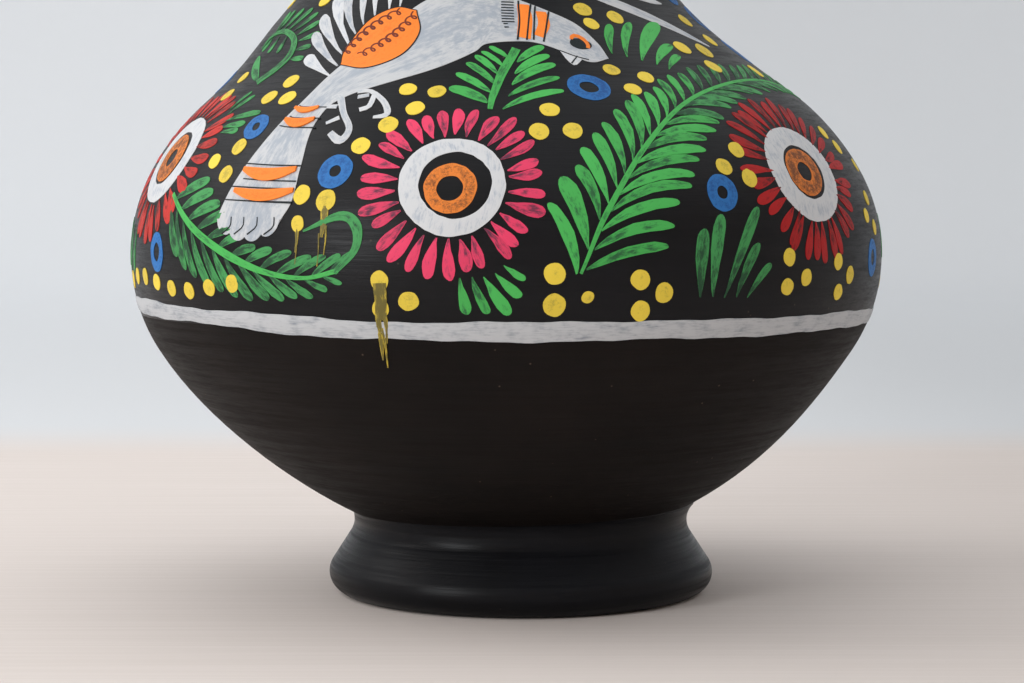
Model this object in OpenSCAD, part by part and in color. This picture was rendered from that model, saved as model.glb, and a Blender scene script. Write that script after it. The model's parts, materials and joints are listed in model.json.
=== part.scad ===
// Round-bellied clay vase on a flared foot, built as the potter builds it: a round-bottomed
// lower bowl, an upper bowl luted onto it, a neck collar, a rolled lip and a ring foot.
// The wall follows a chain of tangent arcs. Each arc is given by its radius and by the
// angle that the wall's outward normal has turned to where the arc ends.
// Angles are measured up from level: negative below the widest line, positive above it.

/* [Belly] */
// Radius of the vase at its widest line
belly_r = 110; // [95:1:130]
// Height of the widest line above the table
belly_z = 100; // [90:1:125]
// Radius of the arc that rounds the belly
belly_round = 51; // [42:1:60]
// Angle at which the belly arc ends below the widest line
belly_low_end = 33; // [29:1:37]
// Angle at which the belly arc ends above the widest line
belly_high_end = 29; // [25:1:34]
// Thickness of the clay wall
wall = 6; // [4:0.5:9]

/* [Underside] */
// Radius of the long arc between belly and foot
under_round = 138; // [122:1:155]
// Angle at which the rounded bottom takes over
bottom_start = 60; // [52:1:68]

/* [Shoulder and neck] */
// Radius of the arc that rounds the shoulder
shoulder_round = 72; // [58:1:84]
// Steepest angle of the shoulder, where it turns from bulging to hollow
shoulder_end = 51; // [45:1:55]
// Radius of the long hollow arc up to the neck
slope_round = 240; // [200:5:290]
// Angle at which the neck collar is luted on
collar_start = 40; // [36:1:44]
// Radius of the hollow arc of the neck
neck_round = 50; // [42:1:58]
// Angle that the neck flares out to under the lip
neck_flare = 38; // [25:1:45]
// Radius of the rolled lip
lip_round = 4.5; // [3:0.25:6]

/* [Foot] */
// Largest radius of the foot
foot_r = 57; // [48:0.5:64]
// Radius of the foot's rolled bottom edge
foot_roll = 6; // [4:0.5:8]
// Angle of the foot's sloping flank
foot_flank = 33; // [25:1:40]
// Radius of the foot's waist, its narrowest line
waist_r = 49.5; // [44:0.5:52]
// Radius of the hollow arc round the waist
waist_round = 7; // [5:0.5:10]
// Angle that the waist flares out to below the bowl
waist_flare = 45; // [30:1:50]
// Thickness of the foot at its waist
foot_wall = 9; // [6:0.5:12]
// How far the foot sits off the vase's axis
foot_shift = 4.5; // [0:0.5:6]

/* [Slip lines and seams] */
// Angle of the bowls' seam below the widest line. The white belly line covers it.
seam_down = 19.5; // [10:0.5:24]
// Width of the belly line
band_w = 5.3; // [3:0.1:8]
// Width of the neck line
neck_band_w = 4; // [2:0.1:6]
// Thickness of the slip lines
slip_t = 0.3; // [0.2:0.05:0.6]
// Radius of the clay coil pressed along the inside of the belly seam
coil_r = 6; // [4:0.5:8]

/* [Hidden] */

// Largest turn between two points of an arc
arc_step = 3;
$fn = 96;

black_clay = [0.10, 0.10, 0.11];
brown_clay = [0.24, 0.16, 0.12];
white_slip = [0.84, 0.84, 0.86];

// Unit vector at an angle, in the plane of radius and height
function along(angle) = [cos(angle), sin(angle)];

// Points of an arc from one angle to another
function arc(centre, radius, first, last) =
    let (steps = max(1, ceil(abs(last - first) / arc_step)))
    [for (i = [0:steps]) centre + radius * along(first + (last - first) * i / steps)];

// Centres of the wall's arcs. Neighbouring arcs share a tangent, so each centre lies on the
// normal through the point where the arcs meet.
belly_c = [belly_r - belly_round, belly_z];
under_c = belly_c + (belly_round - under_round) * along(-belly_low_end);
// The bottom is a piece of a sphere, so its centre is on the axis
bottom_round = under_round + under_c[0] / cos(bottom_start);
bottom_c = under_c + (under_round - bottom_round) * along(-bottom_start);
shoulder_c = belly_c + (belly_round - shoulder_round) * along(belly_high_end);
slope_c = shoulder_c + (shoulder_round + slope_round) * along(shoulder_end);
neck_c = slope_c - (slope_round - neck_round) * along(collar_start);

// The arcs of the wall at a depth below its outer skin
function bottom_line(depth) = arc(bottom_c, bottom_round - depth, -90, -bottom_start);
function under_line(depth) = arc(under_c, under_round - depth, -bottom_start, -belly_low_end);
function belly_line(depth, first, last) = arc(belly_c, belly_round - depth, first, last);
function shoulder_line(depth) =
    arc(shoulder_c, shoulder_round - depth, belly_high_end, shoulder_end);
function slope_line(depth) =
    arc(slope_c, slope_round + depth, 180 + shoulder_end, 180 + collar_start);
function neck_line(depth, first, last) = arc(neck_c, neck_round + depth, 180 + first, 180 + last);

function reversed(points) = [for (i = [len(points) - 1:-1:0]) points[i]];

// The lower bowl's line from the bottom up to the seam, and the upper bowl's from there up
function low_line(depth) = concat(bottom_line(depth), under_line(depth),
                                  belly_line(depth, -belly_low_end, -seam_down));
function high_line(depth) = concat(belly_line(depth, -seam_down, belly_high_end),
                                   shoulder_line(depth), slope_line(depth));

// The foot's outline. Its flank is tangent to the roll below it and to the waist above it.
roll_c = [foot_r - foot_roll, foot_roll];
waist_x = waist_r + waist_round;
flank_length = (roll_c[0] + (foot_roll + waist_round) * cos(foot_flank) - waist_x)
               / sin(foot_flank);
waist_c = roll_c + (foot_roll + waist_round) * along(foot_flank)
          + flank_length * along(foot_flank + 90);
collar_top_r = waist_x - waist_round * cos(waist_flare);
foot_inner_r = waist_r - foot_wall;
foot_outline = concat(
    [[roll_c[0] - foot_wall / 2, 0]],
    arc(roll_c, foot_roll, -90, foot_flank),
    arc(waist_c, waist_round, 180 + foot_flank, 180 - waist_flare),
    [[collar_top_r, belly_z], [foot_inner_r, belly_z], [foot_inner_r, foot_roll]]);

// Middle of the neck's end, where the lip is rolled on
lip_c = neck_c - (neck_round + wall / 2) * along(-neck_flare);

// A ring of the wall between an outer and an inner line
module shell(outer, inner) {
    rotate_extrude() polygon(concat(outer, reversed(inner)));
}

// All that lies inside the outer skin of the two bowls, up to the widest line
module bowl_mass() {
    rotate_extrude() polygon(concat(bottom_line(0), under_line(0),
                                    belly_line(0, -belly_low_end, 0), [[0, belly_z]]));
}

// The foot stands a little off the axis, and its top is fitted to the bowl's underside
module foot_ring() {
    color(black_clay) difference() {
        translate([foot_shift, 0, 0]) rotate_extrude() polygon(foot_outline);
        bowl_mass();
    }
}

module lower_bowl() {
    color(black_clay) shell(low_line(0), low_line(wall));
}

module upper_bowl() {
    color(black_clay) shell(high_line(0), high_line(wall));
}

// Half-round coil along the inside of the belly seam, flat against the wall
module seam_coil() {
    color(brown_clay) rotate_extrude() intersection() {
        polygon(concat([[0, belly_z]], [[0, bottom_c[1]]], low_line(wall), high_line(wall)));
        translate(belly_c + (belly_round - wall) * along(-seam_down)) circle(r = coil_r);
    }
}

module neck_collar() {
    color(black_clay) shell(neck_line(0, collar_start, -neck_flare),
                            neck_line(wall, collar_start, -neck_flare));
}

// Half-round roll on the neck's end
module lip_coil() {
    color(black_clay) rotate_extrude()
        polygon(arc(lip_c, lip_round, -neck_flare, 180 - neck_flare));
}

// A line of slip on the skin, given as the angle it takes on each side of its middle
module belly_band() {
    half_turn = asin(band_w / 2 / belly_round);
    low = -seam_down - half_turn;
    high = -seam_down + half_turn;
    color(white_slip) shell(belly_line(-slip_t, low, high), belly_line(0, low, high));
}

module neck_band() {
    turn = asin(neck_band_w / neck_round);
    color(white_slip) shell(neck_line(-slip_t, collar_start, collar_start - turn),
                            neck_line(0, collar_start, collar_start - turn));
}

foot_ring();
lower_bowl();
upper_bowl();
seam_coil();
neck_collar();
lip_coil();
belly_band();
neck_band();
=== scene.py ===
"""Painted clay vase: a round belly on a ring foot, with a hollow neck and a rolled lip.

The clay pieces are turned round the vase's axis along a chain of tangent arcs, and then set a
little uneven, as hands leave them. Each painted mark is a thin film of paint. It is shaped flat
once, and every stroke is a copy of it that is laid on the clay with its own length, width and bend.
Places on the vase are given as (turn, height): degrees to the right of the front, and millimetres
above the table.
"""

import json
import math
import random

import bmesh
import bpy
import numpy as np
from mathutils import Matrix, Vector

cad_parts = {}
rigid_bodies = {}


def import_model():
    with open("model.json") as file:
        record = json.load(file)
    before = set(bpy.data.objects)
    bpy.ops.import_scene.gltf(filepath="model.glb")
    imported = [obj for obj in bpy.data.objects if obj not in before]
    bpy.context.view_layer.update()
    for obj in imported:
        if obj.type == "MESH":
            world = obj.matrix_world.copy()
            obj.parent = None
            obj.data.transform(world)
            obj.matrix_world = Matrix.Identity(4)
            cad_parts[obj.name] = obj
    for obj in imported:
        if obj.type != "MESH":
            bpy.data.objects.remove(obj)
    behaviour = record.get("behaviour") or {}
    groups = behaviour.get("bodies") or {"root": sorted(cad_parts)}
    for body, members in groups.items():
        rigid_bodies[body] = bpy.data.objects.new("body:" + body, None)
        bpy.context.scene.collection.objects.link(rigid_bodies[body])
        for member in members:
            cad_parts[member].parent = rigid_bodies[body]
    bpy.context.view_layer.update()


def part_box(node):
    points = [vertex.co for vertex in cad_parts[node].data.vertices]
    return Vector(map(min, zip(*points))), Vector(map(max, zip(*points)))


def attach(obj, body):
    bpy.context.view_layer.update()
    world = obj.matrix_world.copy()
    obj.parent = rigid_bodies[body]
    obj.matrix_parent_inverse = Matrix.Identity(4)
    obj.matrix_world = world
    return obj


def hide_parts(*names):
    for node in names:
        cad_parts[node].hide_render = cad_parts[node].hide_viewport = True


bl_info = {
    "name": "Painted Clay Vase",
    "version": (1, 0, 0),
    "blender": (4, 5, 0),
    "location": "View3D > Sidebar > Vase",
    "description": "Builds a hand-painted black clay vase and a plain stage for it",
    "category": "Object",
}

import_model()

MM = 0.001
ARC_STEP = math.radians(2.0)  # largest turn between two points of an arc
WALL_STEPS = 192  # faces round the vase
SUNK = 0.06  # how far a film of paint reaches into the clay, in mm
FRONT = 0.0  # where the painting starts, in degrees round the vase
BACK = 180.0  # where it is painted once more
RAISED = 0.26  # thickness of a film of paint, in mm
OUTLINE_RAISED = 0.40 + SUNK  # thickness of a film that lies over another one
# How far each paint stands off the clay, in mm. Those that cross others stand higher.
FILMS = {"line": 0.34, "brown": 0.36, "orange": 0.26, "stem": 0.20, "slip": 0.16, "yellow": 0.20}
FILM = 0.14


# ---------------------------------------------------------------- settings


def length(name, description, default):
    """A length that the user can change, given in millimetres."""
    return bpy.props.FloatProperty(
        name=name, description=description, default=default * MM, min=0.0, unit="LENGTH", precision=4
    )


def angle(name, description, default):
    """An angle that the user can change, given in degrees."""
    return bpy.props.FloatProperty(
        name=name, description=description, default=math.radians(default), subtype="ANGLE"
    )


def linear(*shades):
    """A colour of 0 to 255 shades as Blender's linear colour."""
    parts = [shade / 255 for shade in shades]
    return tuple(part / 12.92 if part <= 0.04045 else ((part + 0.055) / 1.055) ** 2.4 for part in parts)


def tint(name, description, red, green, blue):
    """A colour that the user can change."""
    return bpy.props.FloatVectorProperty(
        name=name, description=description, default=linear(red, green, blue),
        size=3, min=0.0, max=1.0, subtype="COLOR",
    )


class VaseSizes(bpy.types.PropertyGroup):
    """Sizes of the clay. Angles are measured up from level, as the wall's outward normal."""

    belly_radius: length("Belly radius", "Radius of the vase at its widest line", 110.0)
    belly_height: length("Belly height", "Height of the widest line above the table", 100.0)
    belly_round: length("Belly rounding", "Radius of the arc that rounds the belly", 51.0)
    belly_low_end: angle("Belly arc below", "Where the belly arc ends below the widest line", 33.0)
    belly_high_end: angle("Belly arc above", "Where the belly arc ends above the widest line", 29.0)
    wall: length("Wall", "Thickness of the clay", 6.0)
    under_round: length("Underside rounding", "Radius of the arc between belly and foot", 138.0)
    bottom_start: angle("Bottom start", "Where the rounded bottom takes over", 60.0)
    shoulder_round: length("Shoulder rounding", "Radius of the shoulder's arc", 72.0)
    shoulder_end: angle("Shoulder end", "Where the shoulder turns from bulging to hollow", 51.0)
    slope_round: length("Slope rounding", "Radius of the long hollow arc up to the neck", 240.0)
    collar_start: angle("Collar start", "Where the neck collar is luted on", 40.0)
    neck_round: length("Neck rounding", "Radius of the hollow arc of the neck", 50.0)
    neck_flare: angle("Neck flare", "How far the neck flares out under the lip", 38.0)
    lip_round: length("Lip radius", "Radius of the rolled lip", 4.5)
    foot_radius: length("Foot radius", "Largest radius of the foot", 57.0)
    foot_roll: length("Foot roll", "Radius of the foot's rolled bottom edge", 6.0)
    foot_flank: angle("Foot flank", "Angle of the foot's sloping flank", 33.0)
    waist_radius: length("Waist radius", "Radius of the foot's narrowest line", 49.5)
    waist_round: length("Waist rounding", "Radius of the hollow arc round the waist", 7.0)
    waist_flare: angle("Waist flare", "How far the waist flares out below the bowl", 45.0)
    foot_wall: length("Foot wall", "Thickness of the foot at its waist", 9.0)
    foot_shift: length("Foot shift", "How far the foot sits off the vase's axis", 4.5)
    seam_down: angle("Seam angle", "Angle of the bowls' seam below the widest line", 19.5)
    coil_radius: length("Seam coil", "Radius of the coil pressed along the inside of the seam", 6.0)
    line_width: length("Belly line", "Width of the white line round the belly", 5.0)
    neck_line_width: length("Neck line", "Width of the white line round the neck", 4.0)


class VaseColours(bpy.types.PropertyGroup):
    """Colours of the clay and the paints. Each paint has a full colour and one where it is thin."""

    ground: tint("Black ground", "Painted ground of the upper bowl", 15, 15, 17)
    bowl: tint("Bowl clay", "Bare smoked clay of the lower bowl", 15, 12, 11)
    foot: tint("Foot clay", "Burnished clay of the foot", 12, 12, 14)
    raw: tint("Raw clay", "Unburnished clay inside", 86, 62, 48)
    slip: tint("White slip", "White of the rings and the birds", 206, 208, 210)
    slip_thin: tint("Thin slip", "White where the brush ran dry", 172, 180, 190)
    band: tint("Line slip", "White of the lines round the vase", 192, 195, 198)
    band_thin: tint("Thin line slip", "The lines where they are thin", 122, 131, 143)
    green: tint("Leaf green", "Green of the leaves", 74, 178, 86)
    green_thin: tint("Thin green", "Green where the brush ran dry", 46, 100, 62)
    dry: tint("Dry green", "Green of the drier strokes", 66, 148, 82)
    dry_thin: tint("Thin dry green", "Dry green where it hardly covers", 38, 78, 52)
    pink: tint("Pink", "Petals of the pink flowers", 226, 64, 102)
    pink_thin: tint("Thin pink", "Pink where the brush ran dry", 104, 52, 74)
    red: tint("Red", "Petals of the red flowers", 190, 48, 40)
    red_thin: tint("Thin red", "Red where the brush ran dry", 96, 36, 34)
    wine: tint("Wine red", "Petals of the wine-red flowers", 168, 24, 25)
    wine_thin: tint("Thin wine red", "Wine red where the brush ran dry", 74, 22, 26)
    ochre: tint("Ochre", "Eyes of the flowers", 226, 128, 50)
    ochre_thin: tint("Thin ochre", "Ochre where it has worn", 122, 72, 40)
    orange: tint("Orange", "Wings and bars of the birds", 255, 138, 48)
    orange_thin: tint("Thin orange", "Orange where it is thin", 246, 122, 40)
    yellow: tint("Yellow", "Dots and runs", 234, 206, 72)
    yellow_thin: tint("Thin yellow", "Yellow where it is thin", 190, 168, 66)
    run: tint("Yellow runs", "Paint that ran down", 206, 180, 62)
    run_thin: tint("Thin yellow runs", "Where hardly any paint ran", 112, 102, 50)
    blue: tint("Blue", "Rings between the leaves", 44, 112, 180)
    blue_thin: tint("Thin blue", "Blue where it is thin", 30, 84, 148)
    line: tint("Outline", "Thin dark lines on the birds", 20, 30, 34)
    brown: tint("Brown", "Scrolls on the wings", 112, 44, 26)


class StageSettings(bpy.types.PropertyGroup):
    """The plain surroundings, the lights and the camera."""

    table: tint("Table", "Colour of the floor round the vase", 226, 216, 210)
    backdrop: tint("Backdrop", "Colour of the floor and wall further off", 232, 234, 236)
    key_power: bpy.props.FloatProperty(
        name="Key light", description="Power of the light at the front left", default=8.0, min=0.0
    )
    side_power: bpy.props.FloatProperty(
        name="Side light", description="Power of the large soft light at the left", default=6.0, min=0.0
    )
    sky: bpy.props.FloatProperty(
        name="Sky", description="Strength of the even light from all round", default=1.12, min=0.0
    )
    lens: bpy.props.FloatProperty(
        name="Lens", description="Focal length of the camera", default=88.35, min=1.0, unit="CAMERA"
    )
    camera_distance: length("Camera distance", "From the vase's axis to the camera", 745.0)
    camera_height: length("Camera height", "Height of the camera above the table", 121.4)
    camera_down: angle("Camera tilt", "How far the camera looks down", 3.65)
    camera_right: angle("Camera pan", "How far the camera looks to the right", 0.148)


# ---------------------------------------------------------------- the vase's skin


def along(turned):
    """Unit vector at an angle above level, in radius and height."""
    return np.array([math.cos(turned), math.sin(turned)])


def arc(centre, radius, first, last):
    """Points of an arc from one angle to another, in radius and height."""
    steps = max(2, math.ceil(abs(last - first) / ARC_STEP))
    return [centre + radius * along(first + (last - first) * i / steps) for i in range(steps + 1)]


def chain(*lines):
    """Joins lines end to end, and keeps one point where two meet."""
    points = list(lines[0])
    for line in lines[1:]:
        points.extend(point for point in line if np.hypot(*(point - points[-1])) > 1e-7)
    return points


def smooth(value, low, high):
    """0 below low, 1 above high, and an even S between them."""
    share = np.clip((value - low) / (high - low), 0.0, 1.0)
    return share * share * (3 - 2 * share)


def settle(points):
    """Sets points off the true turned shape by the small unevenness of hand work, above the foot."""
    x, y, z = points.T
    turn = np.arctan2(x, -y)
    radius = np.hypot(x, y)
    wide_wave = 0.22 * np.sin(3 * turn + z / (30 * MM))
    short_wave = 0.13 * np.sin(5 * turn - z / (17 * MM))
    radius = radius + (wide_wave + short_wave) * MM * smooth(radius, 0.0, 40 * MM)
    # The bottom sits a little to the right of the belly's middle, and the neck to the left of it
    bottom_shift, neck_shift = 2.7 * MM, -5.0 * MM
    lean = bottom_shift * (1 - smooth(z, 26 * MM, 70 * MM)) + neck_shift * smooth(z, 143 * MM, 172 * MM)
    return np.column_stack((radius * np.sin(turn) + lean, -radius * np.cos(turn), z))


class Skin:
    """The wall as a chain of tangent arcs, and the way from a flat mark to the outer skin.

    Neighbouring arcs share a tangent, so each centre lies on the normal where the arcs meet.
    """

    def __init__(self, sizes):
        self.sizes = sizes
        self.belly_c = np.array([sizes.belly_radius - sizes.belly_round, sizes.belly_height])
        self.under_c = self.belly_c + (sizes.belly_round - sizes.under_round) * along(-sizes.belly_low_end)
        self.bottom_round = sizes.under_round + self.under_c[0] / math.cos(sizes.bottom_start)
        reach = sizes.under_round - self.bottom_round
        self.bottom_c = self.under_c + reach * along(-sizes.bottom_start)
        reach = sizes.belly_round - sizes.shoulder_round
        self.shoulder_c = self.belly_c + reach * along(sizes.belly_high_end)
        reach = sizes.shoulder_round + sizes.slope_round
        self.slope_c = self.shoulder_c + reach * along(sizes.shoulder_end)
        self.neck_c = self.slope_c - (sizes.slope_round - sizes.neck_round) * along(sizes.collar_start)
        outer = np.array(chain(self.low_line(0.0), self.high_line(0.0), self.neck_line(0.0)))
        step = np.diff(outer, axis=0)
        self.run = np.concatenate(([0.0], np.cumsum(np.hypot(step[:, 0], step[:, 1]))))
        self.radius, self.height = outer.T
        rise = np.gradient(outer, self.run, axis=0)
        self.out, self.up = rise[:, 1], -rise[:, 0]

    def low_line(self, depth):
        """The lower bowl's line, at a depth below the outer skin, from the bottom up to the seam."""
        s = self.sizes
        return chain(
            arc(self.bottom_c, self.bottom_round - depth, -math.pi / 2, -s.bottom_start),
            arc(self.under_c, s.under_round - depth, -s.bottom_start, -s.belly_low_end),
            arc(self.belly_c, s.belly_round - depth, -s.belly_low_end, -s.seam_down),
        )

    def high_line(self, depth):
        """The upper bowl's line, from the seam up to the neck collar."""
        s = self.sizes
        return chain(
            arc(self.belly_c, s.belly_round - depth, -s.seam_down, s.belly_high_end),
            arc(self.shoulder_c, s.shoulder_round - depth, s.belly_high_end, s.shoulder_end),
            arc(self.slope_c, s.slope_round + depth, math.pi + s.shoulder_end, math.pi + s.collar_start),
        )

    def neck_line(self, depth):
        """The neck collar's line, up to the lip."""
        s = self.sizes
        return arc(self.neck_c, s.neck_round + depth, math.pi + s.collar_start, math.pi - s.neck_flare)

    def run_at(self, height):
        """Length along the skin from the bottom up to a height."""
        return np.interp(height, self.height, self.run)

    def at(self, turn, run, film):
        """Points at a turn and a run, lifted off the skin by the film's thickness."""
        radius = np.interp(run, self.run, self.radius) + film * np.interp(run, self.run, self.out)
        height = np.interp(run, self.run, self.height) + film * np.interp(run, self.run, self.up)
        return settle(np.column_stack((radius * np.sin(turn), -radius * np.cos(turn), height)))

    def place(self, spot, right, up, film):
        """Points given in mm right of and up from a spot on the vase."""
        run = self.run_at(spot[1] * MM) + np.asarray(up) * MM
        turn = math.radians(spot[0]) + np.asarray(right) * MM / np.interp(run, self.run, self.radius)
        return self.at(turn, run, film * MM)

    def spot_off(self, spot, right, up):
        """The spot that is some mm right of and up from another one."""
        run = self.run_at(spot[1] * MM) + up * MM
        radius = np.interp(run, self.run, self.radius)
        return spot[0] + math.degrees(right * MM / radius), np.interp(run, self.run, self.height) / MM

    def between(self, spot, other):
        """How far another spot is to the right and up, in mm along the skin."""
        run, other_run = self.run_at(spot[1] * MM), self.run_at(other[1] * MM)
        radius = np.interp((run + other_run) / 2, self.run, self.radius)
        return math.radians(other[0] - spot[0]) * radius / MM, (other_run - run) / MM


def the_skin():
    """The skin for the present sizes, after a look that it still follows the packed clay."""
    skin = Skin(bpy.context.scene.vase_sizes)
    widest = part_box("upper_bowl")[1].x
    loosest = 1.0 * MM
    if abs(skin.radius.max() - widest) > loosest:
        raise ValueError("the belly's radius no longer matches the packed upper_bowl")
    return skin


# ---------------------------------------------------------------- modelling helpers


def deselect():
    """Leaves edit mode and selects nothing."""
    if bpy.context.object and bpy.context.object.mode != "OBJECT":
        bpy.ops.object.mode_set(mode="OBJECT")
    bpy.ops.object.select_all(action="DESELECT")


def hold(pieces):
    """Selects these pieces and makes the first one active."""
    deselect()
    for piece in pieces:
        piece.select_set(True)
    bpy.context.view_layer.objects.active = pieces[0]
    return pieces[0]


def named(name):
    """Names the piece that was just added."""
    piece = bpy.context.object
    piece.name = name
    piece.data.name = name
    return piece


def points_of(piece):
    """The piece's points as an array."""
    values = np.empty(len(piece.data.vertices) * 3)
    piece.data.vertices.foreach_get("co", values)
    return values.reshape(-1, 3)


def move_points(piece, points):
    """Puts the piece's points in new places."""
    piece.data.vertices.foreach_set("co", np.ascontiguousarray(points).ravel())
    piece.data.update()


def note(piece, name, values):
    """Keeps three numbers for every point of the piece, for its paint to follow."""
    kept = piece.data.attributes.get(name) or piece.data.attributes.new(name, "FLOAT_VECTOR", "POINT")
    kept.data.foreach_set("vector", np.ascontiguousarray(values, dtype=np.float32).ravel())


def noted(piece, name):
    """The three numbers that note() kept for every point."""
    values = np.empty(len(piece.data.vertices) * 3, dtype=np.float32)
    piece.data.attributes[name].data.foreach_get("vector", values)
    return values.reshape(-1, 3).astype(float)


def pick(piece, wanted):
    """Selects the points that are wanted, in edit mode, and no others."""
    form = bmesh.from_edit_mesh(piece.data)
    for point in form.verts:
        point.select = bool(wanted(point.co))
    form.select_flush_mode()
    bmesh.update_edit_mesh(piece.data)


def turned(name, outline, closed, steps=WALL_STEPS):
    """Draws an outline point by point, spins it round the axis and closes its seam and poles."""
    deselect()
    bpy.ops.mesh.primitive_plane_add(size=MM, calc_uvs=False)
    piece = named(name)
    bpy.ops.object.mode_set(mode="EDIT")
    bpy.ops.mesh.select_mode(type="VERT")
    bpy.ops.mesh.select_all(action="SELECT")
    bpy.ops.mesh.merge(type="CENTER")
    spots = [np.array([point[0], 0.0, point[1]]) for point in outline]
    bpy.ops.transform.translate(value=spots[0])
    for here, there in zip(spots, spots[1:]):
        bpy.ops.mesh.extrude_vertices_move(TRANSFORM_OT_translate={"value": there - here})
    if closed:
        ends = [spots[0], spots[-1]]
        pick(piece, lambda co: any(np.linalg.norm(np.array(co) - end) < 1e-6 for end in ends))
        bpy.ops.mesh.edge_face_add()
    bpy.ops.mesh.select_all(action="SELECT")
    bpy.ops.mesh.spin(steps=steps, angle=math.tau, center=(0, 0, 0), axis=(0, 0, 1))
    bpy.ops.mesh.select_all(action="SELECT")
    bpy.ops.mesh.remove_doubles(threshold=0.002 * MM)
    bpy.ops.mesh.normals_make_consistent(inside=False)
    bpy.ops.object.mode_set(mode="OBJECT")
    return piece


def smoothed(piece, degrees):
    """Shades a piece smooth, apart from edges sharper than an angle."""
    hold([piece])
    bpy.ops.object.shade_smooth_by_angle(angle=math.radians(degrees))


def thickened(piece, thickness):
    """Gives a film its thickness in mm, inwards from its outer face, and smooths it."""
    hold([piece])
    film = piece.modifiers.new("Thickness", "SOLIDIFY")
    film.thickness = thickness * MM
    film.offset = -1.0
    bpy.ops.object.modifier_apply(modifier=film.name)
    smoothed(piece, 50)


def facing_up(piece):
    """Flips a piece over if its faces look down."""
    if sum(face.normal.z for face in piece.data.polygons) < 0:
        hold([piece])
        bpy.ops.object.mode_set(mode="EDIT")
        bpy.ops.mesh.select_all(action="SELECT")
        bpy.ops.mesh.flip_normals()
        bpy.ops.object.mode_set(mode="OBJECT")


def finished(piece, materials, replaces=()):
    """Gives a piece its finish and ties it to the vase's body."""
    piece.data.materials.clear()
    for material in materials:
        piece.data.materials.append(material)
    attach(piece, "root")
    if replaces:
        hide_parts(*replaces)
    return piece


def line_inside(piece, core):
    """Gives the second finish to the faces that look towards the hollow inside."""
    for face in piece.data.polygons:
        away = face.center - core(face.center)
        face.material_index = 0 if face.normal.dot(away) > 0 else 1


# ---------------------------------------------------------------- flat marks

# Each mark is given by (how far along it is, how wide it is there), as shares of its size
LEAF = ((0.0, 0.10), (0.10, 0.26), (0.24, 0.50), (0.40, 0.74), (0.56, 0.92), (0.72, 1.0),
        (0.84, 0.96), (0.92, 0.80), (0.972, 0.54), (1.0, 0.20))
BLADE = ((0.0, 0.14), (0.07, 0.36), (0.18, 0.62), (0.34, 0.84), (0.52, 0.98), (0.70, 1.0),
         (0.84, 0.92), (0.93, 0.74), (0.98, 0.48), (1.0, 0.18))
PETAL = ((0.0, 0.12), (0.12, 0.32), (0.28, 0.60), (0.45, 0.84), (0.62, 0.99), (0.76, 0.98),
         (0.88, 0.82), (0.96, 0.54), (1.0, 0.20))
FEATHER = ((0.0, 0.12), (0.20, 0.30), (0.42, 0.52), (0.62, 0.78), (0.78, 0.97), (0.87, 1.0),
           (0.945, 0.82), (0.985, 0.52), (1.0, 0.22))


def drawn_mark(name, stations):
    """A flat brush mark, drawn out from its tail and widened station by station."""
    if name in bpy.data.objects:
        return bpy.data.objects[name]
    deselect()
    bpy.ops.mesh.primitive_grid_add(x_subdivisions=3, y_subdivisions=1, size=1.0, calc_uvs=False)
    mark = named(name)
    (low, low_width), (high, high_width) = stations[:2]
    bpy.ops.object.mode_set(mode="EDIT")
    bpy.ops.mesh.select_mode(type="VERT")
    pick(mark, lambda co: co.y < 0)
    bpy.ops.transform.translate(value=(0, low + 0.5, 0))
    bpy.ops.transform.resize(value=(low_width, 1, 1), center_override=(0, low, 0))
    pick(mark, lambda co: co.y > 0.4)
    bpy.ops.transform.translate(value=(0, high - 0.5, 0))
    bpy.ops.transform.resize(value=(high_width, 1, 1), center_override=(0, high, 0))
    for (low, low_width), (high, high_width) in zip(stations[1:], stations[2:]):
        bpy.ops.mesh.extrude_region_move(TRANSFORM_OT_translate={"value": (0, high - low, 0)})
        bpy.ops.transform.resize(value=(high_width / low_width, 1, 1), center_override=(0, high, 0))
    bpy.ops.object.mode_set(mode="OBJECT")
    x, y, _ = points_of(mark).T
    width = np.interp(y, [at for at, _ in stations], [wide for _, wide in stations])
    note(mark, "brush", np.column_stack((0.5 + x / width, y, np.zeros_like(x))))
    return mark


def round_mark(name, corners=20):
    """A flat round dab of unit radius, with a raised middle."""
    if name in bpy.data.objects:
        return bpy.data.objects[name]
    deselect()
    bpy.ops.mesh.primitive_circle_add(vertices=corners, radius=1.0, fill_type="NGON", calc_uvs=False)
    mark = named(name)
    bpy.ops.object.mode_set(mode="EDIT")
    bpy.ops.mesh.select_all(action="SELECT")
    bpy.ops.mesh.inset(thickness=0.35, depth=0.0)
    bpy.ops.mesh.poke()
    bpy.ops.object.mode_set(mode="OBJECT")
    x, y, _ = points_of(mark).T
    note(mark, "brush", np.column_stack((0.5 + 0.5 * np.hypot(x, y), np.ones_like(x), np.zeros_like(x))))
    return mark


def hoop_mark(name, corners, hole):
    """A flat ring of unit radius round a hole that is a share of it."""
    if name in bpy.data.objects:
        return bpy.data.objects[name]
    deselect()
    bpy.ops.mesh.primitive_circle_add(vertices=corners, radius=hole, fill_type="NOTHING", calc_uvs=False)
    mark = named(name)
    bpy.ops.object.mode_set(mode="EDIT")
    bpy.ops.mesh.select_all(action="SELECT")
    radii = np.linspace(hole, 1.0, 4)
    for inner, outer in zip(radii, radii[1:]):
        bpy.ops.mesh.extrude_region_move(TRANSFORM_OT_translate={"value": (0, 0, 0)})
        grow = outer / inner
        bpy.ops.transform.resize(value=(grow, grow, 1), center_override=(0, 0, 0))
    bpy.ops.object.mode_set(mode="OBJECT")
    facing_up(mark)
    x, y, _ = points_of(mark).T
    across = (np.hypot(x, y) - hole) / (1 - hole)
    note(mark, "brush", np.column_stack((across, np.ones_like(x), np.zeros_like(x))))
    return mark


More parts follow.
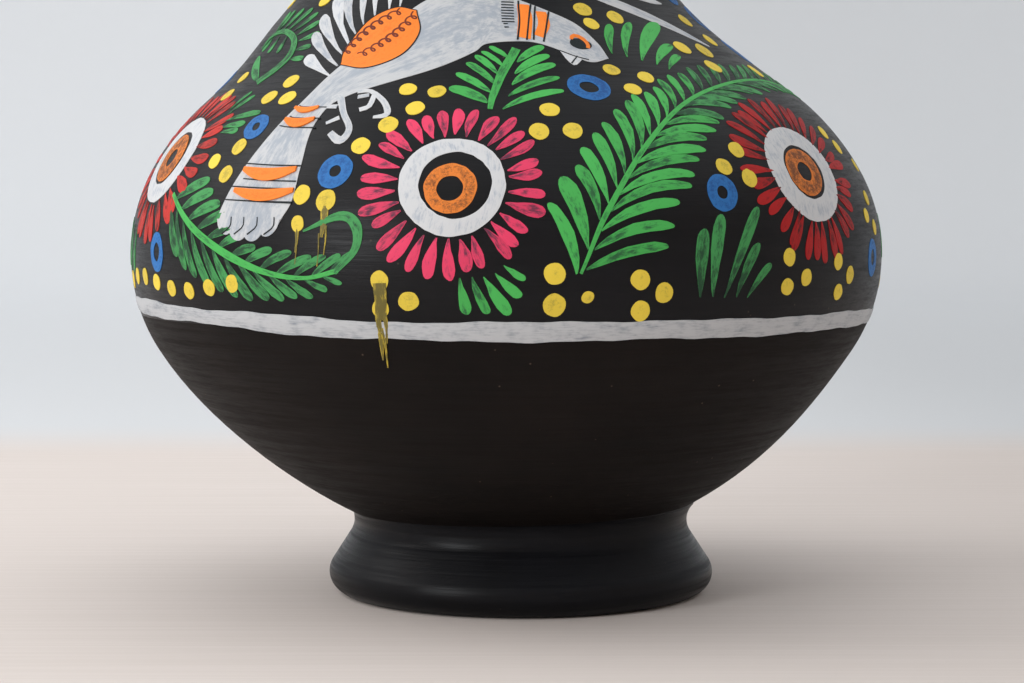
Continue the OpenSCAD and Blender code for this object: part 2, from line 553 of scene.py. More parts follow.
def clear_marks():
    """Removes the flat marks, once every stroke has been copied from them."""
    for piece in [piece for piece in bpy.data.objects if piece.name.startswith("mark_")]:
        bpy.data.objects.remove(piece)


def laid(piece, skin, spot, right, up, grain, film, tone):
    """Presses a flat piece onto the clay: thinner at its edges, with a slightly ragged outline."""
    brush = noted(piece, "brush")
    phase = tone * 40.0
    ragged = 0.09 * np.sin(0.9 * up + 0.7 * right + phase) + 0.05 * np.sin(1.5 * right - 1.3 * up + phase)
    dome = 1 - (2 * np.clip(brush[:, 0], 0, 1) - 1) ** 2
    thick = film * (0.75 + 0.25 * dome)
    move_points(piece, skin.place(spot, right + ragged, up + ragged, thick))
    brush[:, 2] = tone
    note(piece, "brush", brush)
    note(piece, "grain", np.column_stack((grain, np.full(len(brush), phase))))
    return piece


def copied(mark):
    """A copy of a mark with a mesh of its own."""
    piece = mark.copy()
    piece.data = mark.data.copy()
    bpy.context.scene.collection.objects.link(piece)
    return piece


class Brush:
    """Lays strokes of one hand on the skin and keeps them by paint, until they are joined."""

    def __init__(self, skin, seed, around=FRONT):
        self.skin = skin
        self.hand = random.Random(seed)
        self.around = around
        self.loose = 0.0 if around == FRONT else 1.0
        self.paints = {}

    def spot(self, spot):
        """The spot on this side of the vase."""
        return spot[0] + self.around, spot[1]

    def keep(self, paint, piece):
        """Keeps a stroke for its paint."""
        self.paints.setdefault(paint, []).append(piece)

    def film(self, paint):
        """Thickness of the next stroke, slightly different each time so that strokes can cross."""
        return FILMS.get(paint.split("-")[0], FILM) + self.hand.uniform(0.0, 0.03)

    def press(self, paint, piece, spot, right, up, grain):
        """Lays a flat piece on the skin and keeps it for its paint."""
        tone = self.hand.random()
        self.keep(paint, laid(piece, self.skin, self.spot(spot), right, up, grain, self.film(paint), tone))

    def stroke(self, paint, mark, spot, heading, size, start=(0.0, 0.0), bend=0.0):
        """One stroke: its tail starts off the spot, and its heading is in degrees from straight up."""
        piece = copied(mark)
        flat = points_of(piece)
        wide, long = size
        side = flat[:, 0] * wide + bend * long * 4 * flat[:, 1] * (1 - flat[:, 1])
        ahead = flat[:, 1] * long
        cos, sin = math.cos(math.radians(heading)), math.sin(math.radians(heading))
        right = start[0] + ahead * sin + side * cos
        up = start[1] + ahead * cos - side * sin
        self.press(paint, piece, spot, right, up, np.column_stack((flat[:, 0] * wide, ahead)))

    def strokes(self, paint, mark, tail, head, width, bend=0.0):
        """One stroke from a spot to another."""
        right, up = self.skin.between(tail, head)
        size = (width, math.hypot(right, up))
        self.stroke(paint, mark, tail, math.degrees(math.atan2(right, up)), size, bend=bend)

    def shape(
        self, paint, mark, spot, wide, high, offset=(0.0, 0.0), lean=0.0, lopsided=0.0, hole=(0.0, 0.0)
    ):
        """A round dab or ring, wide and high in mm, a little lopsided, with its hole off the middle."""
        piece = copied(mark)
        x, y, _ = points_of(piece).T
        inward = 1 - noted(piece, "brush")[:, 0]
        offset = (offset[0] + hole[0] * inward, offset[1] + hole[1] * inward)
        swell = 1 + lopsided * np.sin(2 * np.arctan2(y, x) + self.hand.uniform(0, 6))
        cos, sin = math.cos(math.radians(lean)), math.sin(math.radians(lean))
        right = offset[0] + (x * cos + y * sin) * swell * wide / 2
        up = offset[1] + (y * cos - x * sin) * swell * high / 2
        self.press(paint, piece, spot, right, up, np.column_stack((x * wide / 2, y * high / 2)))

    def sheet(self, paint, place, columns, rows, size, film=None):
        """A patch of paint. place takes shares across and along to arrays of turn and height."""
        deselect()
        bpy.ops.mesh.primitive_grid_add(x_subdivisions=columns, y_subdivisions=rows, size=1, calc_uvs=False)
        piece = bpy.context.object
        flat = points_of(piece) + 0.5
        across, ahead = flat[:, 0], flat[:, 1]
        turn, height = place(across, ahead)
        film = film or self.film(paint)
        tone = self.hand.random()
        dome = 1 - (2 * across - 1) ** 2
        run = self.skin.run_at(height * MM)
        thick = film * MM * (0.75 + 0.25 * dome)
        move_points(piece, self.skin.at(np.radians(turn + self.around), run, thick))
        note(piece, "brush", np.column_stack((across, np.ones_like(ahead), np.full(len(flat), tone))))
        grain = (across * size[0], ahead * size[1], np.full(len(flat), tone * 40.0))
        note(piece, "grain", np.column_stack(grain))
        self.keep(paint, piece)

    def ribbon(self, paint, spots, widths, steps=None, film=None):
        """A stroke along a curve through spots, with widths in mm spread evenly along it."""
        spine = curve(spots, 24)
        turn, height = spine.T
        run = self.skin.run_at(height * MM) / MM
        radius = np.interp(run * MM, self.skin.run, self.skin.radius) / MM
        ahead_x = np.gradient(np.radians(turn)) * radius
        ahead_y = np.gradient(run)
        pace = np.maximum(np.hypot(ahead_x, ahead_y), 1e-9)
        length_mm = float(pace.sum())
        steps = steps or max(3, round(length_mm / 1.3))
        shares = np.linspace(0, 1, len(spine))
        wide = np.interp(shares, np.linspace(0, 1, len(widths)), widths)

        def place(across, ahead):
            def at(values):
                return np.interp(ahead, shares, values)

            side = (across - 0.5) * at(wide)
            side_x, side_y = at(ahead_y / pace) * side, -at(ahead_x / pace) * side
            new_run = at(run) + side_y
            new_height = np.interp(new_run * MM, self.skin.run, self.skin.height) / MM
            return at(turn) + np.degrees(side_x / at(radius)), new_height

        self.sheet(paint, place, 2, steps, (max(widths), length_mm), film)

    def finish(self, name, paint, material):
        """Joins one paint's strokes into a piece and gives the film its thickness."""
        pieces = self.paints.pop(paint, [])
        if not pieces:
            return None
        piece = hold(pieces)
        if len(pieces) > 1:
            bpy.ops.object.join()
        piece.name = name
        piece.data.name = name
        thickened(piece, OUTLINE_RAISED if paint in ("line", "brown", "orange") else RAISED)
        return finished(piece, [material])


def curve(spots, fineness):
    """Points of a smooth curve through spots."""
    spots = np.array(spots, dtype=float)
    if len(spots) == 2:
        share = np.linspace(0, 1, fineness)[:, None]
        return spots[0] * (1 - share) + spots[1] * share
    ends = np.vstack((2 * spots[0] - spots[1], spots, 2 * spots[-1] - spots[-2]))
    points = []
    for before, here, there, after in zip(ends, ends[1:], ends[2:], ends[3:]):
        for t in np.arange(fineness) / fineness:
            points.append(
                0.5 * (2 * here + (there - before) * t
                       + (2 * before - 5 * here + 4 * there - after) * t ** 2
                       + (3 * here - before - 3 * there + after) * t ** 3)
            )
    return np.array(points + [spots[-1]])


def loft(first, second, bulge=None):
    """A sheet between two edges, as a place for Brush.sheet. Shares run across, then along."""
    edges = [curve(edge, 16) for edge in (first, second)]

    def place(across, ahead):
        sides = []
        for edge in edges:
            shares = np.linspace(0, 1, len(edge))
            sides.append([np.interp(ahead, shares, edge[:, i]) for i in (0, 1)])
        turn = sides[0][0] * (1 - across) + sides[1][0] * across
        height = sides[0][1] * (1 - across) + sides[1][1] * across
        return (turn, height) if bulge is None else bulge(across, ahead, turn, height)

    return place


# ---------------------------------------------------------------- finishes


def socket(shader, name, value):
    """Sets a value on one of the shader's own sockets."""
    shader.inputs[name].default_value = value


class Finish:
    """A material's node tree, built up node by node."""

    def __init__(self, name, roughness, specular):
        self.material = bpy.data.materials.new(name)
        self.material.use_nodes = True
        self.tree = self.material.node_tree
        self.shader = self.tree.nodes["Principled BSDF"]
        socket(self.shader, "Specular IOR Level", specular)
        socket(self.shader, "Roughness", roughness)

    def node(self, kind, inputs=None, **settings):
        """A node with its settings, and with its inputs linked or set."""
        node = self.tree.nodes.new(kind)
        for name, value in settings.items():
            setattr(node, name, value)
        for name, value in (inputs or {}).items():
            if isinstance(value, bpy.types.NodeSocket):
                self.tree.links.new(value, node.inputs[name])
            else:
                node.inputs[name].default_value = value
        return node

    def link(self, output, name):
        """Links an output to one of the shader's sockets."""
        self.tree.links.new(output, self.shader.inputs[name])

    def stretched(self, vector, scale, turn=(0, 0, 0)):
        """Coordinates turned and scaled."""
        inputs = {"Vector": vector, "Scale": scale, "Rotation": turn}
        return self.node("ShaderNodeMapping", inputs, vector_type="POINT").outputs["Vector"]

    def noise(self, vector, scale, detail=3.0, roughness=0.55):
        """Even noise of 0 to 1."""
        inputs = {"Vector": vector, "Scale": scale, "Detail": detail, "Roughness": roughness}
        return self.node("ShaderNodeTexNoise", inputs).outputs["Fac"]

    def ramp(self, value, low, high, first=0.0, last=1.0):
        """Takes a value from low..high to first..last, with soft ends."""
        inputs = {"Value": value, "From Min": low, "From Max": high, "To Min": first, "To Max": last}
        return self.node("ShaderNodeMapRange", inputs, interpolation_type="SMOOTHSTEP").outputs["Result"]

    def math(self, operation, first, second):
        """Arithmetic on two values."""
        node = self.node("ShaderNodeMath", operation=operation)
        for place, value in enumerate((first, second)):
            if isinstance(value, bpy.types.NodeSocket):
                self.tree.links.new(value, node.inputs[place])
            else:
                node.inputs[place].default_value = value
        return node.outputs["Value"]

    def total(self, *parts):
        """Sum of values, each given with its weight."""
        result = None
        for value, weight in parts:
            part = value if weight == 1.0 else self.math("MULTIPLY", value, weight)
            result = part if result is None else self.math("ADD", result, part)
        return result

    def mix(self, share, first, second):
        """Mixes two colours by a share."""
        node = self.node("ShaderNodeMix", data_type="RGBA")
        for place, value in ((0, share), (6, first), (7, second)):
            if isinstance(value, bpy.types.NodeSocket):
                self.tree.links.new(value, node.inputs[place])
            elif place == 0:
                node.inputs[place].default_value = value
            else:
                node.inputs[place].default_value = (*value, 1.0)
        return node.outputs[2]

    def bump(self, height, strength, distance):
        """Raises the surface by a pattern, up to a distance in mm."""
        inputs = {"Height": height, "Strength": strength, "Distance": distance * MM}
        self.link(self.node("ShaderNodeBump", inputs).outputs["Normal"], "Normal")


def paint(name, full, thin, cover=0.5, fade=0.3, grainy=False, roughness=0.55):
    """Brushed paint: full where the brush was loaded, thin in streaks, in the middle and at the tail."""
    finish = Finish(name, roughness, 0.25)
    brush = finish.node("ShaderNodeAttribute", attribute_name="brush").outputs["Vector"]
    grain = finish.node("ShaderNodeAttribute", attribute_name="grain").outputs["Vector"]
    parts = finish.node("ShaderNodeSeparateXYZ", {"Vector": brush}).outputs
    scales = ((1.3, 1.3, 1.0), (4.5, 4.5, 1.0)) if grainy else ((1.5, 0.32, 1.0), (4.4, 1.1, 1.0))
    streak = finish.noise(finish.stretched(grain, scales[0]), 1.0, 4.0, 0.65)
    hairs = finish.noise(finish.stretched(grain, scales[1]), 1.0, 3.0, 0.65)
    patches = finish.noise(finish.stretched(grain, (0.45, 0.30, 1.0)), 1.0, 3.0)
    # The brush squeezes paint out to the stroke's edges
    off_middle = finish.math("ABSOLUTE", finish.math("SUBTRACT", parts["X"], 0.5), 0.0)
    edge = finish.math("POWER", finish.math("MULTIPLY", off_middle, 2.0), 3.0)
    ahead = finish.ramp(parts["Y"], 0.0, 0.75, 0.0, fade)
    load = finish.total(
        (streak, 1.1), (patches, 0.9), (hairs, 0.55), (edge, 0.28), (parts["Z"], 0.22), (ahead, 1.0)
    )
    share = finish.ramp(load, 1.72 - cover, 2.16 - cover)
    shade = finish.ramp(parts["Z"], 0.0, 1.0, 0.90, 1.06)
    inputs = {"Color": finish.mix(share, thin, full), "Value": shade}
    finish.link(finish.node("ShaderNodeHueSaturation", inputs).outputs["Color"], "Base Color")
    finish.link(finish.ramp(streak, 0.2, 0.8, roughness + 0.08, roughness - 0.06), "Roughness")
    finish.bump(finish.total((streak, 1.5), (hairs, 1.0)), 0.4, 0.12)
    return finish.material


def clay(name, base, worn, roughness, specular, brushed, hatch=0.0, speck=0.0):
    """Smoked clay: mottled, with the streaks of a burnishing stone or a broad brush in three ways."""
    finish = Finish(name, roughness, specular)
    place = finish.node("ShaderNodeTexCoord").outputs["Object"]
    cloud = finish.noise(place, 26.0, 4.0, 0.6)
    grit = finish.noise(place, 1400.0, 3.0, 0.7)
    rings = finish.noise(finish.stretched(place, (14.0, 14.0, 620.0), (0.05, 0.03, 0.0)), 1.0, 3.0, 0.6)
    ways = []
    for turn in ((0.0, 0.9, 0.3), (0.4, -0.8, 0.0), (0.9, 0.2, 1.2)):
        ways.append(finish.noise(finish.stretched(place, (24.0, 110.0, 1100.0), turn), 1.0, 3.0, 0.65))
    crossed = finish.math("MAXIMUM", finish.math("MAXIMUM", ways[0], ways[1]), ways[2])
    share = finish.ramp(finish.total((cloud, 1.0), (rings, 0.5)), 0.45, 1.05)
    colour = finish.mix(share, base, worn)
    if speck:
        dust = finish.node("ShaderNodeTexVoronoi", {"Vector": place, "Scale": 150.0}).outputs["Distance"]
        colour = finish.mix(finish.ramp(dust, 0.02, 0.055, speck, 0.0), colour, linear(112, 96, 82))
    finish.link(colour, "Base Color")
    gloss = finish.total((crossed, hatch), (rings, brushed))
    middle = 0.5 * brushed + 0.62 * hatch
    dulled = finish.ramp(gloss, middle - 0.2, middle + 0.2, roughness - 0.08, roughness + 0.12)
    finish.link(dulled, "Roughness")
    finish.bump(finish.total((grit, 0.2), (gloss, 1.0)), 0.8, 0.16)
    return finish.material


def black_ground(name, colours):
    """The painted ground of the upper bowl and the neck."""
    worn = linear(22, 22, 25)
    return clay(name, tuple(colours.ground), worn, 0.42, 0.17, brushed=0.35, hatch=0.8, speck=0.3)


def slip_line(name, full, thin):
    """White slip pulled round the vase with a broad brush, thin in long level streaks."""
    finish = Finish(name, 0.6, 0.3)
    grain = finish.node("ShaderNodeAttribute", attribute_name="grain").outputs["Vector"]
    streak = finish.noise(finish.stretched(grain, (2.2, 0.05, 1.0)), 1.0, 4.0, 0.65)
    smear = finish.noise(finish.stretched(grain, (0.35, 0.03, 1.0)), 1.0, 3.0)
    grit = finish.noise(finish.stretched(grain, (3.0, 1.6, 1.0)), 1.0, 2.0)
    worn = finish.total((streak, 0.9), (smear, 1.0), (grit, 0.45))
    finish.link(finish.mix(finish.ramp(worn, 1.05, 1.75, 1.0, 0.0), thin, full), "Base Color")
    finish.bump(finish.total((streak, 1.0), (grit, 1.0)), 0.4, 0.12)
    return finish.material


# ---------------------------------------------------------------- the clay pieces


class VASE_OT_foot(bpy.types.Operator):
    """Turns the ring foot, which is rolled at the bottom and sits a little off the axis"""

    bl_idname = "vase.foot"
    bl_label = "Ring foot"

    def execute(self, context):
        s, colours, skin = context.scene.vase_sizes, context.scene.vase_colours, the_skin()
        roll_c = np.array([s.foot_radius - s.foot_roll, s.foot_roll])
        waist_x = s.waist_radius + s.waist_round
        round_sum = s.foot_roll + s.waist_round
        flank = (roll_c[0] + round_sum * math.cos(s.foot_flank) - waist_x) / math.sin(s.foot_flank)
        waist_c = roll_c + round_sum * along(s.foot_flank) + flank * along(s.foot_flank + math.pi / 2)
        inner = s.waist_radius - s.foot_wall
        outline = chain(
            arc(np.array([inner + s.foot_roll, s.foot_roll]), s.foot_roll, math.pi, 1.5 * math.pi),
            arc(roll_c, s.foot_roll, -math.pi / 2, s.foot_flank),
            arc(waist_c, s.waist_round, math.pi + s.foot_flank, math.pi - s.waist_flare),
        )
        # The top is let into the bowl's underside
        buried = s.wall * 0.45
        under = slice(0, 60)  # the first points of the skin, where the radius only grows
        for radius in (outline[-1][0], (outline[-1][0] + inner) / 2, inner):
            height = np.interp(radius, skin.radius[under], skin.height[under]) + buried
            outline.append(np.array([radius, height]))
        foot = turned("foot_ring_clay", outline, closed=True)
        x, y, z = points_of(foot).T
        turn = np.arctan2(x, -y)
        uneven = 1 + 0.002 * np.sin(2 * turn + 0.6) + 0.0015 * np.sin(5 * turn + z * 200)
        move_points(foot, np.column_stack((x * uneven + s.foot_shift, y * uneven, z)))
        smoothed(foot, 40)
        finish = clay("burnished_foot", tuple(colours.foot), linear(19, 20, 24), 0.38, 0.13,
                      brushed=1.0, hatch=0.3, speck=0.3)
        finished(foot, [finish], ["foot_ring"])
        return {"FINISHED"}


class VASE_OT_bowls(bpy.types.Operator):
    """Turns the two bowls and the coil that is pressed along the inside of their seam"""

    bl_idname = "vase.bowls"
    bl_label = "Bowls"

    def execute(self, context):
        s, colours, skin = context.scene.vase_sizes, context.scene.vase_colours, the_skin()
        raw = clay("raw_clay_inside", tuple(colours.raw), linear(60, 44, 36), 0.85, 0.2, brushed=0.8)
        bare = clay("smoked_bowl", tuple(colours.bowl), linear(25, 20, 18), 0.62, 0.12,
                    brushed=0.6, hatch=0.6, speck=0.5)
        ground = black_ground("black_ground", colours)

        def core(_):
            return Vector((0.0, 0.0, s.belly_height))

        low = turned("lower_bowl_clay", chain(skin.low_line(0.0), skin.low_line(s.wall)[::-1]), closed=False)
        move_points(low, settle(points_of(low)))
        line_inside(low, core)
        smoothed(low, 40)
        finished(low, [bare, raw], ["lower_bowl"])

        outline = chain(skin.high_line(0.0), skin.high_line(s.wall)[::-1])
        high = turned("upper_bowl_clay", outline, closed=True)
        move_points(high, settle(points_of(high)))
        line_inside(high, core)
        smoothed(high, 40)
        finished(high, [ground, raw], ["upper_bowl"])

        centre = skin.belly_c + (s.belly_round - s.wall) * along(-s.seam_down)
        across = math.pi / 2 - s.seam_down
        outline = arc(centre, s.coil_radius, across, across + math.pi)
        coil = turned("seam_coil_clay", outline, closed=True)
        points = points_of(coil)
        turn = np.arctan2(points[:, 0], -points[:, 1])
        # Fingers pressed the coil's inner side in, all the way round
        inward = smooth(skin.belly_c[0] * 1.65 - np.hypot(points[:, 0], points[:, 1]), 0.0, 4 * MM)
        pinch = 1 - 0.012 * np.abs(np.sin(11 * turn)) * inward
        points[:, :2] *= pinch[:, None] * 0.5 + 0.5
        move_points(coil, settle(points))
        smoothed(coil, 40)
        finished(coil, [raw], ["seam_coil"])
        return {"FINISHED"}


class VASE_OT_neck(bpy.types.Operator):
    """Turns the neck collar and the lip that is rolled on its end"""

    bl_idname = "vase.neck"
    bl_label = "Neck and lip"

    def execute(self, context):
        s, colours, skin = context.scene.vase_sizes, context.scene.vase_colours, the_skin()
        raw = clay("raw_clay_neck", tuple(colours.raw), linear(52, 40, 34), 0.8, 0.22, brushed=0.8)
        ground = black_ground("black_ground_neck", colours)
        outline = chain(skin.neck_line(0.0), skin.neck_line(s.wall)[::-1])
        neck = turned("neck_collar_clay", outline, closed=True)
        move_points(neck, settle(points_of(neck)))
        line_inside(neck, lambda centre: Vector((0.0, 0.0, centre.z)))
        smoothed(neck, 40)
        finished(neck, [ground, raw], ["neck_collar"])

        centre = skin.neck_c - (s.neck_round + s.wall / 2) * along(-s.neck_flare)
        tuck = math.radians(32)
        outline = arc(centre, s.lip_round, -s.neck_flare - tuck, math.pi - s.neck_flare + tuck)
        lip = turned("lip_coil_clay", outline, closed=True)
        move_points(lip, settle(points_of(lip)))
        smoothed(lip, 60)
        finished(lip, [ground], ["lip_coil"])
        return {"FINISHED"}


class VASE_OT_lines(bpy.types.Operator):
    """Pulls the white lines round the belly and the neck"""

    bl_idname = "vase.lines"
    bl_label = "White lines"

    def execute(self, context):
        s, colours, skin = context.scene.vase_sizes, context.scene.vase_colours, the_skin()
        finish = slip_line("white_slip_line", tuple(colours.band), tuple(colours.band_thin))
        # The belly line covers the bowls' seam, and the neck line the one where the neck starts
        seam_height = (s.belly_height - s.belly_round * math.sin(s.seam_down)) / MM
        neck_width = s.neck_line_width / MM
        neck_height = skin.neck_line(0.0)[0][1] / MM + 0.62 * neck_width / 2
        self.line(skin, finish, "belly_line_slip", seam_height, s.line_width / MM, 3.6, "belly_band")
        self.line(skin, finish, "neck_line_slip", neck_height, neck_width, 0.0, "neck_band")
        return {"FINISHED"}

    def line(self, skin, finish, name, height, width, swing, node):
        """One line: it swings up at the left side, and its edges waver."""
        deselect()
        bpy.ops.mesh.primitive_cylinder_add(vertices=288, radius=0.1, depth=2.0, end_fill_type="NOTHING",
                                            calc_uvs=False)
        band = named(name)
        bpy.ops.object.mode_set(mode="EDIT")
        bpy.ops.mesh.select_all(action="DESELECT")
        form = bmesh.from_edit_mesh(band.data)
        for edge in form.edges:
            edge.select = abs(edge.verts[0].co.z - edge.verts[1].co.z) > 1.0
        bmesh.update_edit_mesh(band.data)
        bpy.ops.mesh.subdivide(number_cuts=4)
        bpy.ops.object.mode_set(mode="OBJECT")
        x, y, share = points_of(band).T
        turn = np.arctan2(x, -y)
        left = np.exp(-((turn + math.radians(72)) / math.radians(40)) ** 2)
        middle = swing * left + 0.2 * np.sin(2 * turn) + 0.12 * np.sin(7 * turn)
        edge = 0.22 * np.sin(11 * turn + 2 * share) + 0.14 * np.sin(29 * turn + 3 * share)
        edge = edge + 0.09 * np.sin(61 * turn - share)
        half = width / 2 * (0.96 + 0.09 * np.cos(2 * turn - 0.3) + 0.05 * np.sin(9 * turn))
        run = skin.run_at(height * MM) + (middle + share * half + np.abs(share) * edge) * MM
        move_points(band, skin.at(turn, run, (0.30 - 0.10 * share ** 2) * MM))
        around = np.hypot(np.sin(turn), np.cos(turn) + 1) * 100
        note(band, "grain", np.column_stack((share * width / 2, around, np.sin(turn) * 30)))
        thickened(band, 0.30 + SUNK)
        finished(band, [finish], [node])


# ---------------------------------------------------------------- the painting


def paints(context):
    """The materials of the brushed paints, made once."""
    colours = context.scene.vase_colours
    # How well each paint covers, how much it fades towards the tail, and whether it is dabbed on
    settings = {
        "slip": (0.62, 0.0, False),
        "green": (0.52, 0.20, False),
        "dry": (0.30, 0.30, False),
        "pink": (0.60, 0.10, False),
        "red": (0.60, 0.08, False),
        "wine": (0.58, 0.12, False),
        "ochre": (0.55, 0.0, True),
        "orange": (0.74, 0.0, True),
        "yellow": (0.74, 0.0, True),
        "run": (0.30, 0.0, False),
        "blue": (0.60, 0.0, True),
        "line": (0.6, 0.0, False),
        "brown": (0.6, 0.0, False),
    }
    for name, (cover, fade, grainy) in settings.items():
        if f"paint_{name}" not in bpy.data.materials:
            full, thin = getattr(colours, name), getattr(colours, f"{name}_thin", getattr(colours, name))
            paint(f"paint_{name}", tuple(full), tuple(thin), cover, fade, grainy)
    return {name: bpy.data.materials[f"paint_{name}"] for name in settings}


def leaves(brush, paint_name, stem, side, row, headings, lengths, widths, bend, mark):
    """A row of leaves at even steps along a stem.

    side is 1 to the right of the stem and -1 to its left, and row is (first, step, count) in mm
    along it. The headings, lengths and widths, in degrees and mm, spread evenly over the row.
    """
    beside = 0.9  # how far off the stem's middle a leaf starts, in mm
    line = curve(stem, 12)
    steps = [math.hypot(*brush.skin.between(here, there)) for here, there in zip(line, line[1:])]
    along_stem = np.concatenate(([0.0], np.cumsum(steps)))
    first, step, count = row
    for number in range(count):
        share = number / (count - 1)
        tail = tuple(np.interp(first + step * number, along_stem, line[:, i]) for i in (0, 1))
        heading, long, wide = (
            float(np.interp(share, np.linspace(0, 1, len(values)), values))
            for values in (headings, lengths, widths)
        )
        heading += brush.hand.uniform(-3, 3) * (1 + brush.loose)
        size = (wide * brush.hand.uniform(0.92, 1.08), long * brush.hand.uniform(0.95, 1.04))
        own_bend = bend * brush.hand.uniform(0.7, 1.3)
        brush.stroke(paint_name, mark, tail, heading, size, (side * beside, 0.0), own_bend)


class VASE_OT_fronds(bpy.types.Operator):
    """Paints the fern fronds, the sprigs and the loose leaves"""

    bl_idname = "vase.fronds"
    bl_label = "Fronds and leaves"

    def execute(self, context):
        materials = paints(context)
        for name, around, seed in (("front", FRONT, 11), ("back", BACK, 12)):
            brush = Brush(the_skin(), seed, around)
            self.tall_frond(brush)
            self.low_frond(brush)
            self.sprigs(brush)
            brush.finish(f"fronds_{name}", "green", materials["green"])
            brush.finish(f"dry_fronds_{name}", "dry", materials["dry"])
            brush.finish(f"stems_{name}", "stem", materials["green"])
            brush.finish(f"dry_stems_{name}", "stem-dry", materials["dry"])
        clear_marks()
        return {"FINISHED"}

    def tall_frond(self, brush):
        """The frond that rises from the belly line and arches over to the right."""
        leaf, blade = drawn_mark("mark_leaf", LEAF), drawn_mark("mark_blade", BLADE)
        stem = [(10, 98), (14, 114), (21, 130), (31, 141.5), (45, 147.5), (62, 149.5), (82, 147)]
        brush.ribbon("stem", stem, (0.8, 1.5, 1.4, 1.2, 1.0, 0.8, 0.6))
        brush.strokes("green", blade, (9.5, 98), (6, 116), 3.4, 0.07)
        brush.strokes("green", leaf, (11, 104), (8, 122.5), 4.7, 0.04)
        leaves(brush, "green", stem, -1, (15, 5, 12), (-15, -13, -4, 0, 3, 8, 14),
               (15.5, 17.5, 17, 15.5, 13, 11.5, 10.5), (3.4, 3.0, 2.5), 0.06, leaf)
        leaves(brush, "dry", stem, -1, (75, 5, 12), (18, 36, 48, 56, 62), (10.5, 10, 8.5),
               (2.4, 1.9), 0.05, leaf)
        leaves(brush, "green", stem, 1, (1, 5.5, 10), (74, 72, 76, 88), (24, 24, 21, 18),
               (2.7, 2.8), -0.09, blade)
        leaves(brush, "dry", stem, 1, (56, 5.5, 13), (91, 95, 102, 116), (16, 16, 19, 13),
               (2.7, 1.8), -0.09, blade)

    def low_frond(self, brush):
        """The frond that sweeps down along the belly line and curls up at its end."""
        leaf, blade = drawn_mark("mark_leaf", LEAF), drawn_mark("mark_blade", BLADE)
        stem = [(-58, 118), (-50, 109), (-41, 101.5), (-34, 97.5), (-28, 96.5), (-23, 98.5)]
        brush.ribbon("stem", stem, (1.2, 2.0, 2.2, 1.5, 1.0, 1.3))
        curl = [(-23.5, 98), (-20.5, 104), (-20.5, 110), (-23, 112.5), (-28.5, 108.5)]
        brush.ribbon("stem-dry", curl, (1.4, 2.0, 3.0, 2.4, 0.5))
        leaves(brush, "dry", stem, 1, (2.5, 5.5, 13), (66, 72, 72, 64, 50), (15, 14, 9, 12, 9.5),
               (3.4, 2.5, 2.0), -0.04, blade)
        leaves(brush, "dry", stem, -1, (1.5, 5.5, 13), (152, 153, 140, 125, 108), (18.5, 18, 15, 11.5, 7),
               (3.0, 3.1, 1.7), 0.03, leaf)

    def sprigs(self, brush):
        """The sprig under the bird, the fans and the leaves in the gaps."""
        leaf, blade = drawn_mark("mark_leaf", LEAF), drawn_mark("mark_blade", BLADE)
        stem = [(-2.5, 140), (-2, 144), (0, 150), (4, 156.5)]
        brush.ribbon("stem", stem, (1.3, 2.0, 2.5, 2.3))
        leaves(brush, "green", stem, -1, (2.5, 4, 6), (-56, -46, -33, -31, -36, -40), (12, 12, 10, 8, 6),
               (3.2, 1.7), 0.05, blade)
        leaves(brush, "green", [(-1, 140), (0.5, 146), (3, 154)], 1, (0, 5, 5), (63, 54, 50),
               (17.5, 16, 10.5), (2.4, 2.9, 2.4), -0.07, blade)
        # The fan on the right, the fan under the middle flower and the one over the tall frond
        leaves(brush, "dry", [(27, 91.5), (35, 91)], 1, (0, 3.8, 5), (5, 10, 24, 30, 41),
               (18.5, 22, 26, 16.5, 11.5), (4.0, 2.4), -0.05, leaf)
        leaves(brush, "green", [(-6.5, 97), (-2.5, 97.5), (-0.5, 100.5)], 1, (0, 3, 5), (170, 146, 123),
               (9.5, 11.5, 6.5), (2.9, 2.9, 1.9), 0.02, leaf)
        leaves(brush, "green", [(23.5, 155.5), (30, 153.5), (34, 151.5)], 1, (0, 4, 5), (26, 34, 46, 52, 55),
               (13.5, 17.5, 23, 15.5, 10.5), (2.7, 2.8, 4.2, 2.9, 2.2), -0.05, leaf)
        # The spray beside the left flower
        leaves(brush, "dry", [(-56.5, 141), (-53.5, 134.5)], 1, (0, 2.6, 5), (17, 36, 78, 84, 88),
               (8, 10, 15.5, 10.5, 8), (1.8, 2.5, 2.2), -0.03, leaf)
        # The curled fern high on the left, with leaves outside and inside its bend
        coil = [(-55.5, 148.5), (-51, 155), (-53, 160.5), (-61, 163.5), (-68, 162.5), (-69, 159)]
        brush.ribbon("stem-dry", coil, (3.4, 3.0, 2.2, 2.0, 1.8, 1.4))
        brush.strokes("dry", blade, (-56, 149), (-66, 156.5), 3.4, -0.05)
        outside = [(-50.5, 155), (-52.5, 161), (-60, 164), (-68, 163.5)]
        leaves(brush, "dry", outside, 1, (0, 3.8, 9), (90, -5), (6, 9.5, 8.5), (2.2, 2.2), 0.0, leaf)
        leaves(brush, "dry", [(-57, 162), (-67, 162)], -1, (0, 5, 3), (176, 187), (7, 6),
               (2.0, 2.0), 0.0, leaf)
        # The tufts that hang at the sides of the belly
        leaves(brush, "dry", [(-71.5, 108), (-80.5, 111)], -1, (0, 5.7, 4), (197, 215), (13, 16),
               (3.2, 3.2), 0.02, leaf)
        leaves(brush, "dry", [(82.5, 112), (88.5, 112)], 1, (0, 5.6, 3), (205, 171), (13.5, 12.5),
               (3.2, 3.2), 0.02, leaf)


